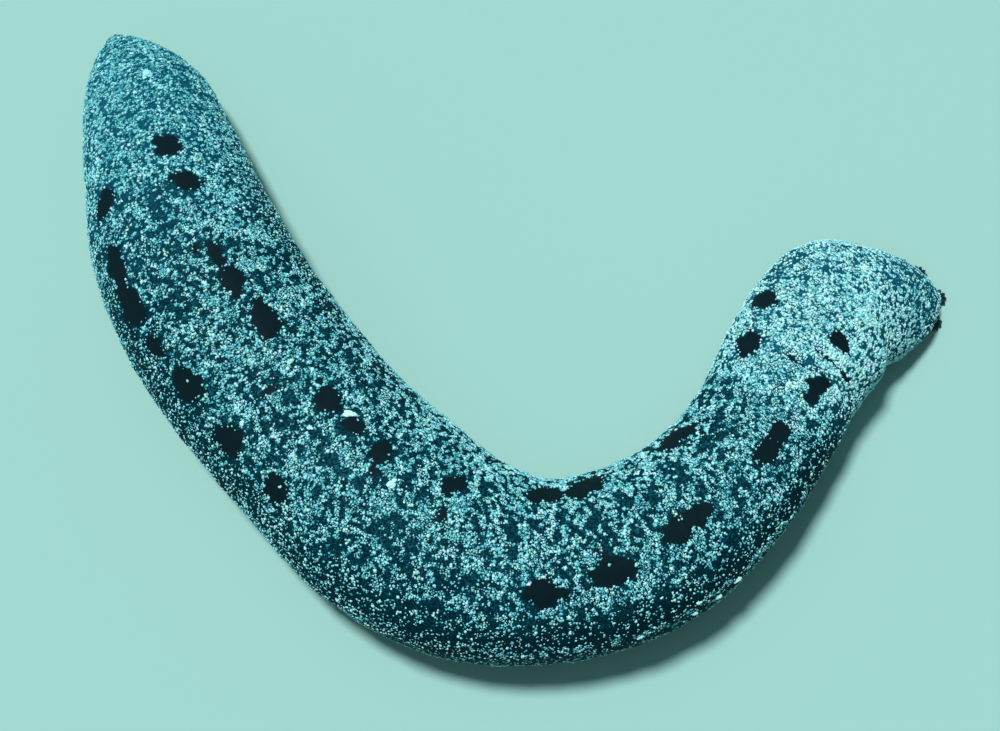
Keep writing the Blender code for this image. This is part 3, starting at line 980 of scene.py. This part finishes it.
def sandPlaces(grid):
    # Rows and columns of the grid at even steps over the skin, shaken
    rng = np.random.default_rng(sand["seed"])
    points = grid["points"]
    stretch = np.linalg.norm(np.diff(points, axis=0), axis=2).mean(axis=1)
    alongTotal = addedUp(stretch)
    girths = np.linalg.norm(np.diff(points, axis=1), axis=2).sum(axis=1)
    rows, columns = [], []
    for place in np.arange(sand["cell"] / 2, alongTotal[-1], sand["cell"]):
        row = np.interp(place, alongTotal, np.arange(len(alongTotal)))
        girth = np.interp(row, np.arange(len(girths)), girths)
        count = max(int(girth / sand["cell"]), 1)
        rows.append(np.full(count, row))
        columns.append((np.arange(count) + rng.uniform()) / count * skin["sides"])
    row, column = np.concatenate(rows), np.concatenate(columns)
    for line, step in ((row, stretch.mean()), (column, girths.max() / skin["sides"])):
        line += rng.uniform(-0.5, 0.5, len(row)) * sand["shake"] * sand["cell"] / step
    return rng, np.clip(row, 0, skin["rings"] - sand["rowMargin"]), np.mod(column, skin["sides"])


def clumpsOver(points, along, around):
    # How readily sand holds at each place: fine clumps, larger ones, and streaks across the body
    large = noiseOver(points, *sand["largeClumps"])
    streaks = noiseAcross(along, around, sand["streakStretch"], *sand["streaks"])
    even = profileAt(along, sand["even"])
    trunk, ends = (noiseOver(points, *sand[clumps]) + sand[adds][0] * large + sand[adds][1] * streaks
                   for clumps, adds in (("trunkClumps", "trunkAdds"), ("endClumps", "endAdds")))
    return (1 - even) * trunk / trunk.std() + even * ends / ends.std()


def heldPlaces(grid, share):
    # The places that keep a grain, with a rank that is 0 where sand holds best
    rng, row, column = sandPlaces(grid)
    wanted = readGrid(share, row, column)
    clumped = sand["clumpMost"] * ease(wanted, *sand["clumpShare"])
    clumps = clumpsOver(*(readGrid(grid[name], row, column) for name in ("points", "along", "around")))
    hold = clumped * clumps + np.sqrt(1 - clumped ** 2) * rng.normal(0, 1, len(row))
    rank = np.empty(len(hold))
    rank[np.argsort(-hold)] = (np.arange(len(hold)) + 0.5) / len(hold)
    kept = rank < wanted
    return rng, row[kept], column[kept], rank[kept]


def unitLength(directions):
    return directions / np.maximum(np.linalg.norm(directions, axis=1, keepdims=True), leastLength)


def makeSand(grid, share, pale):
    rng, row, column, rank = heldPlaces(grid, share)
    points, along = readGrid(grid["points"], row, column), readGrid(grid["along"], row, column)
    normals = readGrid(grid["normals"], row, column)
    directed = np.linalg.norm(normals, axis=1) > leastLength  # no grain on the tail's very tip
    normals = unitLength(normals)
    count = len(row)
    wide = sand["middleSize"] * np.exp(rng.normal(0, sand["spread"], count))
    wide = np.clip(wide * profileAt(along, sand["sizes"]), sand["leastSize"], sand["mostSize"])
    sizes = wide[:, None] * rng.uniform(*sand["uneven"], (count, 3)) * (1, 1, sand["flatness"])
    upright = unitLength(normals + rng.normal(0, sand["tilt"], (count, 3)))
    axes = turnedAxes(upright, rng.uniform(0, 2 * math.pi, count))
    roots = points + normals * (sizes[:, 2:] * sand["sunk"])
    tones = profileAt(along, sand["tones"]) + rng.normal(0, sand["toneSpread"], count)
    tones += sand["tonePatch"] * noiseOver(points, *sand["toneNoise"])
    tones += sand["ridgeTone"] * readGrid(pale, row, column)
    bySize = sand["toneBySize"] * (wide / sand["middleSize"] - 1)
    tones += bySize + sand["toneByRank"] * (sand["evenRank"] - rank)
    tones = np.clip(tones, sand["leastTone"], 1)
    tints = sand["tintMiddle"] + sand["tintPatch"] * noiseOver(points, *sand["tintNoise"])
    tints = np.clip(tints + rng.normal(0, sand["tintSpread"], count), 0, 1)
    places = np.stack((row / skin["rings"], column / skin["sides"]), axis=1)
    places = np.clip(places, sand["patch"], 1 - sand["patch"])
    kinds = rng.integers(0, sand["shapes"], count)
    material = sandFinish()
    shapes = grainShapes(random.Random(sand["seed"]))
    pieces = math.ceil(count / sand["mostInPiece"])
    for number, chosen in enumerate(np.array_split(np.argsort(along), pieces)):
        parts = []
        for kind, shape in enumerate(shapes):
            some = chosen[(kinds[chosen] == kind) & directed[chosen]]
            grains = (values[some] for values in (roots, axes, sizes, places, tones, tints))
            parts.append(tiledMesh(shape, *grains))
        mesh = meshFromParts(f"sand_{number + 1}", parts)
        linkPiece(f"sand_{number + 1}", mesh, material)
    print("grains of sand:", int(directed.sum()), "in pieces:", pieces)


# Shell bits that lie on the sand: place in the photo, length and width in mm, turn in degrees, and tone

shellBits = {
    "tailBit": ((147, 74), (3.0, 2.4), 20, 0.76),
    "trunkBit": ((391, 484), (2.8, 1.9), 15, 1.0),
    "trunkBitHigh": ((350, 414), (3.2, 1.8), -12, 0.97),
    "rimBit": ((718, 596), (2.2, 1.5), 25, 1.0),
    "rimBitHigh": ((738, 579), (2.4, 1.2), 40, 0.97),
    "rimBitLow": ((694, 613), (2.0, 1.2), 10, 0.96),
    "rimBitLeft": ((640, 637), (1.8, 0.9), 20, 0.92),
    "greenBit": ((291, 361), (2.0, 1.4), 30, 0.80),
    "smallBit1": ((188, 381), (0.8, 0.7), 0, 0.72),
    "smallBit2": ((280, 487), (0.9, 0.6), 50, 0.76),
    "smallBit3": ((609, 565), (0.7, 0.6), 0, 0.66),
    "smallBit4": ((242, 423), (1.7, 1.2), 70, 0.84),
    "smallBit5": ((311, 428), (1.6, 1.1), -40, 0.88),
    "smallBit6": ((698, 603), (1.2, 0.9), 0, 0.95),
}
shellShape = {
    "chips": 5,
    "middleScale": 0.72,
    "chipSmaller": 0.24,
    "chipVaries": (0.6, 1.4),
    "chipReach": 0.36,
    "thickness": 0.5,
    "rough": 0.26,
    "sunk": 0.15,
    "raised": 0.3,  # in widths of a grain
    "tints": (0.0, 0.35),
    "towardsView": 0.5,
    "seed": 8,
}


def makeShellBits(camera, grid):
    rng = random.Random(shellShape["seed"])
    turn = camera.matrix_world.to_3x3()
    bm = bmesh.new()
    toneLayer, tintLayer = (bm.verts.layers.float.new(name) for name in ("tone", "tint"))
    reach = shellShape["chipReach"]
    for name, (spot, size, degrees, tone) in shellBits.items():
        found = castSpot(camera, grid, spot)
        if found is None:
            print("shell bit off the body:", name)
            continue
        centre = Vector(readGrid(grid["points"], *found))
        normal = Vector(readGrid(grid["normals"], *found)).normalized()
        seen = (camera.location - centre).normalized()
        normal = normal.lerp(seen, shellShape["towardsView"]).normalized()
        angle = math.radians(degrees)
        long = turn @ Vector((math.cos(angle), math.sin(angle), 0))
        long = (long - normal * long.dot(normal)).normalized()
        wide = normal.cross(long)
        for chip in range(shellShape["chips"]):
            # One chip in the middle, and smaller ones against it
            near = 0 if chip == 0 else 1
            smaller = shellShape["chipSmaller"] * near * rng.uniform(*shellShape["chipVaries"])
            chipLong, chipWide = (length * (shellShape["middleScale"] - smaller) for length in size)
            x0, y0 = (near * rng.uniform(-reach, reach) * length for length in size)
            thick = chipWide * shellShape["thickness"]
            lengths = (chipLong, chipWide, thick)
            lift = thick * (0.5 - shellShape["sunk"]) + sand["middleSize"] / mm * shellShape["raised"]
            tint = rng.uniform(*shellShape["tints"])
            for vert in bmesh.ops.create_icosphere(bm, subdivisions=2, radius=0.5)["verts"]:
                rough = 1 + rng.uniform(-1, 1) * shellShape["rough"]
                x, y, z = (part * length * rough for part, length in zip(vert.co, lengths))
                vert.co = centre + (long * (x + x0) + wide * (y + y0) + normal * (z + lift)) * mm
                vert[toneLayer], vert[tintLayer] = tone, tint
    bmesh.ops.recalc_face_normals(bm, faces=bm.faces[:])
    linkPiece("shell_bits", meshOf("shell_bits", bm), bpy.data.materials["sand"])


# Tube feet of the sole, in three bands

feet = {
    "rowStep": 4.2 * mm,
    "fromTail": 14.0 * mm,
    "toRim": 39.0 * mm,
    # Shares of the half width
    "across": (-0.71, -0.60, -0.49, -0.17, -0.06, 0.06, 0.17, 0.49, 0.60, 0.71),
    "jitter": 0.55 * mm,
    "radius": (0.62 * mm, 0.86 * mm),
    "sunk": 1.3 * mm,
    "splay": 0.09,
    "steps": 8,
    # Radius and height, as shares of the foot's
    "profile": ((0.0, 0.0), (0.92, 0.0), (1.0, 0.08), (0.80, 0.22), (0.72, 0.40), (1.25, 1.0), (0.0, 1.0)),
    "seed": 34,
    "stagger": 0.25,  # of a step between rows
    "mapSpread": 0.4,  # of the bake's map, across the half width
    "colours": ((0.006, 0.024, 0.030, 1), (0.16, 0.36, 0.385, 1)),  # stem, and dusted sole
    "dustHeight": (0.15 * mm, 0.9 * mm),
    "bumps": (2600, 3, 0.6),
    "bumpDepth": 0.05 * mm,
    "bumpStrength": 0.4,
    "roughness": 0.5,
    "gloss": 0.2,
}


def soleAt(place, across):
    # Height of the underside at a share of the half width from the middle line
    _, _, widest, sole, _ = sectionAt(place)
    power = body["lowerSquare"]
    across = across / rightShare(place) if across > 0 else across
    return widest - (widest - sole) * (1 - abs(across) ** power) ** (1 / power)


def footFinish():
    finish = Finish("foot")
    height = finish.add("ShaderNodeSeparateXYZ", None, {0: finish.place()}, out="Z")
    low = 1 - finish.between(height, *feet["dustHeight"])
    return finish.soft(feet, finish.blend(low, *feet["colours"]), feet["roughness"])


def makeFeet():
    rng = random.Random(feet["seed"])
    roots, sizes, axes, places = [], [], [], []
    rows = int((bodyLength - feet["fromTail"] - feet["toRim"]) / feet["rowStep"])
    for i in range(rows + 1):
        for k, across in enumerate(feet["across"]):
            stagger = feet["rowStep"] * feet["stagger"] * (1 if k % 2 else -1)
            place = feet["fromTail"] + i * feet["rowStep"] + stagger + rng.uniform(-1, 1) * feet["jitter"]
            half = sectionAt(place)[0]
            share = across + rng.uniform(-1, 1) * feet["jitter"] / half
            centre = valuesAt(place)
            _, side = directionsAt(place)
            top = soleAt(place, share) + feet["sunk"]
            lean = side * (share * half * feet["splay"])
            radius = rng.uniform(*feet["radius"])
            root = Vector((centre.x, centre.y, 0)) + side * (share * half) + lean
            roots.append(root[:])
            sizes.append((radius, radius, top))
            axes.append(((1, 0, 0), (0, 1, 0), (-lean.x / top, -lean.y / top, 1)))
            places.append((place / bodyLength, 0.5 + feet["mapSpread"] * share))
    shape = shapeArrays(turnedShape(feet["profile"], feet["steps"]))
    roots, sizes, axes, places = map(np.array, (roots, sizes, axes, places))
    plain = np.zeros(len(roots))
    mesh = meshFromParts("tube_feet", [tiledMesh(shape, roots, axes, sizes, places, plain, plain)])
    mesh.shade_smooth()
    linkPiece("tube_feet", mesh, footFinish())
    print("tube feet:", len(roots))


# Mouth: a pleated disc with lips, and twenty tentacles that end in lobed shields

mouth = {
    "profile": (  # radius and height in mm, from the pit's bottom out to the edge sunk in the hood
        (0.0, 9.6), (0.8, 9.0), (1.2, 7.8), (1.8, 6.7), (2.6, 6.2), (3.5, 6.4), (4.3, 7.3),
        (5.4, 7.9), (7.6, 7.7), (9.2, 8.0), (10.1, 8.8), (10.3, 10.2), (9.6, 11.2), (0.0, 11.6),
    ),
    "steps": 72,
    "pleats": 24,
    "pleatDepth": 0.07,
    "pleatHeight": 0.25 * mm,
    "pleatRange": (0.6 * mm, 3.0 * mm, 6.0 * mm, 9.0 * mm),  # radii where pleats start, are full and end
    "tentacles": 20,
    "root": 7.4 * mm,
    "rootHeight": 8.9 * mm,
    "knee": 9.8 * mm,
    "kneeHeight": 3.0 * mm,
    "reach": (10.4 * mm, 12.4 * mm),
    "reachVaries": 0.4,  # mm
    "longReach": 16.8 * mm,
    "longWithin": 0.85,  # cosine of the turn from straight ahead
    "tips": ((922, 271), (942, 296)),  # tips that show past the rim, by place in the photo
    "tipHeight": 1.5 * mm,
    "tipShows": 1.35 * mm,
    "nextShorter": 1.8 * mm,  # the tentacles beside one that shows reach nearly as far
    "stalkRadius": 1.35 * mm,
    "stalkSides": 12,
    "stalkRings": 9,
    "stalkEnd": 0.8,  # of the shield's height
    "stalkTaper": (1.05, 0.15),  # share of the radius at the root, and what is lost on the way out
    "stalkWave": (0.04, 9),
    "shieldRadius": 2.7 * mm,
    "shieldSizes": (0.9, 1.05),
    "shieldHeight": 2.0 * mm,
    "shieldSides": 72,
    "shieldRings": 8,
    "shieldLobes": 11,
    "lobeBlunt": 0.6,
    "notches": 3,  # in each lobe's edge
    "shieldEdge": (0.56, 0.36, 0.08),  # between lobes, and what the lobes and their notches add
    "shieldRise": (0.62, 0.38, 0.12),  # at the edge, and what the middle and the lobes add
    "seed": 5,
    "colours": ((0.004, 0.012, 0.016, 1), (0.012, 0.034, 0.040, 1)),
    "mottle": (900, 3, 0.6),
    "mottleRange": (0.35, 0.75),
    "bumps": (2400, 4, 0.6),
    "bumpDepth": 0.08 * mm,
    "bumpStrength": 0.6,
    "roughness": 0.45,
    "gloss": 0.25,
}


def stalkInto(bm, outward, reach):
    # A bent tube from the disc down to the knee and out to the shield
    beside = Vector((-outward.y, outward.x, 0))
    knots = [
        outward * mouth["root"] + Vector((0, 0, mouth["rootHeight"])),
        outward * mouth["knee"] + Vector((0, 0, mouth["kneeHeight"])),
        outward * reach + Vector((0, 0, mouth["shieldHeight"] * mouth["stalkEnd"])),
    ]
    rings = mouth["stalkRings"]
    (start, taper), (wave, waves) = mouth["stalkTaper"], mouth["stalkWave"]
    grown = bmesh.ops.create_circle(bm, segments=mouth["stalkSides"], radius=1.0, cap_ends=True)
    ring = grown["verts"]
    edges = list({edge for vert in ring for edge in vert.link_edges})
    rows = [ring]
    for _ in range(rings - 1):
        out = bmesh.ops.extrude_edge_only(bm, edges=edges)["geom"]
        ring = [item for item in out if isinstance(item, bmesh.types.BMVert)]
        edges = [item for item in out if isinstance(item, bmesh.types.BMEdge)]
        rows.append(ring)
    bmesh.ops.holes_fill(bm, edges=edges, sides=0)
    for i, ring in enumerate(rows):
        share = i / (rings - 1)
        centre = knots[0] * (1 - share) ** 2 + knots[1] * 2 * share * (1 - share) + knots[2] * share ** 2
        along = ((knots[1] - knots[0]) * (1 - share) + (knots[2] - knots[1]) * share).normalized()
        lift = along.cross(beside)
        size = mouth["stalkRadius"] * (start - taper * share + wave * math.cos(waves * share))
        for vert in ring:
            vert.co = centre + beside * (vert.co.x * size) + lift * (vert.co.y * size)


def shieldInto(bm, outward, reach, size, turn):
    # A pad whose edge is cut into lobes, each lobe notched again, flat on the floor
    sides, rings, lobes = mouth["shieldSides"], mouth["shieldRings"], mouth["shieldLobes"]
    (least, reaches, ripples), (low, domed, thick) = mouth["shieldEdge"], mouth["shieldRise"]
    for vert in bmesh.ops.create_uvsphere(bm, u_segments=sides, v_segments=rings, radius=1.0)["verts"]:
        around = math.atan2(vert.co.y, vert.co.x) + turn
        lobe = abs(math.cos(lobes / 2 * around)) ** mouth["lobeBlunt"]
        edge = least + reaches * lobe + ripples * abs(math.cos(lobes / 2 * mouth["notches"] * around))
        wide = Vector((vert.co.x, vert.co.y)).length
        flat = Vector((vert.co.x, vert.co.y)) * size * (1 + (edge - 1) * wide)
        rise = (vert.co.z + 1) / 2
        height = mouth["shieldHeight"] * rise * (low + domed * (1 - wide) + thick * lobe * wide)
        vert.co = Vector((flat.x, flat.y, max(height, 0.0))) + outward * reach


def tipReaches(camera):
    # Direction and reach of the tentacles whose tips show past the rim
    found = []
    for spot in mouth["tips"]:
        start, direction = pixelRay(camera, spot)
        there = start + direction * ((mouth["tipHeight"] - start.z) / direction.z) - mouthCentre()
        there.z = 0
        reach = there.length - mouth["shieldRadius"] + mouth["tipShows"]
        found.append((math.atan2(there.y, there.x), reach))
    return found


def makeMouth(camera):
    bm = turnedShape([(radius * mm, height * mm) for radius, height in mouth["profile"]], mouth["steps"])
    starts, full, fades, ends = mouth["pleatRange"]
    for vert in bm.verts:
        wide = vert.co.xy.length
        around = math.atan2(vert.co.y, vert.co.x)
        near = ease(wide, starts, full) * (1 - ease(wide, fades, ends))
        vert.co.xy *= 1 + mouth["pleatDepth"] * near * math.cos(mouth["pleats"] / 2 * around)
        vert.co.z += mouth["pleatHeight"] * near * math.cos(mouth["pleats"] * around)
    forward, _ = directionsAt(bodyLength - skin["mouthFromRim"])
    heading = math.atan2(forward.y, forward.x)
    rng = random.Random(mouth["seed"])
    tips = tipReaches(camera)
    varies = mouth["reachVaries"]
    for i in range(mouth["tentacles"]):
        turn = 2 * math.pi * (i + 0.5) / mouth["tentacles"]
        reach = mouth["reach"][i % 2] + rng.uniform(-varies, varies) * mm
        if i % 2 and math.cos(turn) > mouth["longWithin"]:
            reach = mouth["longReach"]
        angle = heading + turn
        for tipAngle, tipReach in tips:
            # Counted in half steps between tentacles
            apart = abs(math.remainder(angle - tipAngle, 2 * math.pi)) * mouth["tentacles"] / math.pi
            if apart < 1:
                angle, reach = tipAngle, tipReach
            elif apart < 3:
                reach = max(reach, tipReach - mouth["nextShorter"])
        outward = Vector((math.cos(angle), math.sin(angle), 0))
        size = mouth["shieldRadius"] * rng.uniform(*mouth["shieldSizes"])
        stalkInto(bm, outward, reach)
        shieldInto(bm, outward, reach, size, rng.uniform(0, math.pi))
    bmesh.ops.translate(bm, verts=bm.verts, vec=mouthCentre())
    bmesh.ops.recalc_face_normals(bm, faces=bm.faces[:])
    mesh = meshOf("mouth_and_tentacles", bm)
    mesh.shade_smooth()
    piece = linkPiece("mouth_and_tentacles", mesh, mottledFinish("mouth", mouth))
    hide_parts("mouth_crown")


# Vent: a puckered ring at the tail tip

vent = {
    "profile": (  # radius and how far it stands behind the tip, in mm
        (0.0, 0.0), (0.35, 0.05), (0.6, 0.35), (0.9, 0.7), (1.5, 0.95), (2.2, 0.85), (2.75, 0.35),
        (2.9, -0.5), (2.4, -1.4), (0.0, -1.8),
    ),
    "steps": 60,
    "pleats": 10,
    "pleatDepth": 0.10,
    "pleatFade": 1 * mm,
    "colours": ((0.003, 0.030, 0.042, 1), (0.13, 0.46, 0.52, 1)),
    "mottle": (1300, 3, 0.6),
    "mottleRange": (0.40, 0.56),
    "bumps": (1300, 3, 0.6),
    "bumpDepth": 0.2 * mm,
    "bumpStrength": 0.8,
    "roughness": 0.8,
    "gloss": 0.05,
}


def makeVent():
    bm = turnedShape([(radius * mm, out * mm) for radius, out in reversed(vent["profile"])], vent["steps"])
    forward, side = directionsAt(0)
    centre = valuesAt(body["tailCut"])
    origin = Vector((centre.x, centre.y, body["tailTipHeight"]))
    for vert in bm.verts:
        around = math.atan2(vert.co.y, vert.co.x)
        out = vert.co.z
        pleat = vent["pleatDepth"] * math.cos(vent["pleats"] * around) * ease(out, 0, vent["pleatFade"])
        wide = vert.co.xy.length * (1 + pleat)
        outward = side * math.cos(around) + Vector((0, 0, math.sin(around)))
        vert.co = origin + outward * wide - forward * out
    faceOut(bm)
    mesh = meshOf("vent", bm)
    mesh.shade_smooth()
    piece = linkPiece("vent", mesh, mottledFinish("vent", vent))
    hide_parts("vent_rim")


camera = makeCamera()
makeLights()
makeFloor()
print("camera, light and floor made")

grid = skinGrid()
shapeSkin(grid)
masks = [patchMask(camera, grid, patches) for patches in (barePatches, thinPatches, paleRidges)]
bare, thin, pale = masks
share = coverOver(grid, bare, thin, pale)
makeSkin(grid, bare, share, profileAt(grid["along"], cover["film"]))
print("skin made, length along the middle line:", round(bodyLength, 4))

makeSand(grid, share, pale)
makeShellBits(camera, grid)
print("sand and shell bits made")

makeFeet()
makeMouth(camera)
makeVent()
print("feet, mouth and vent made")
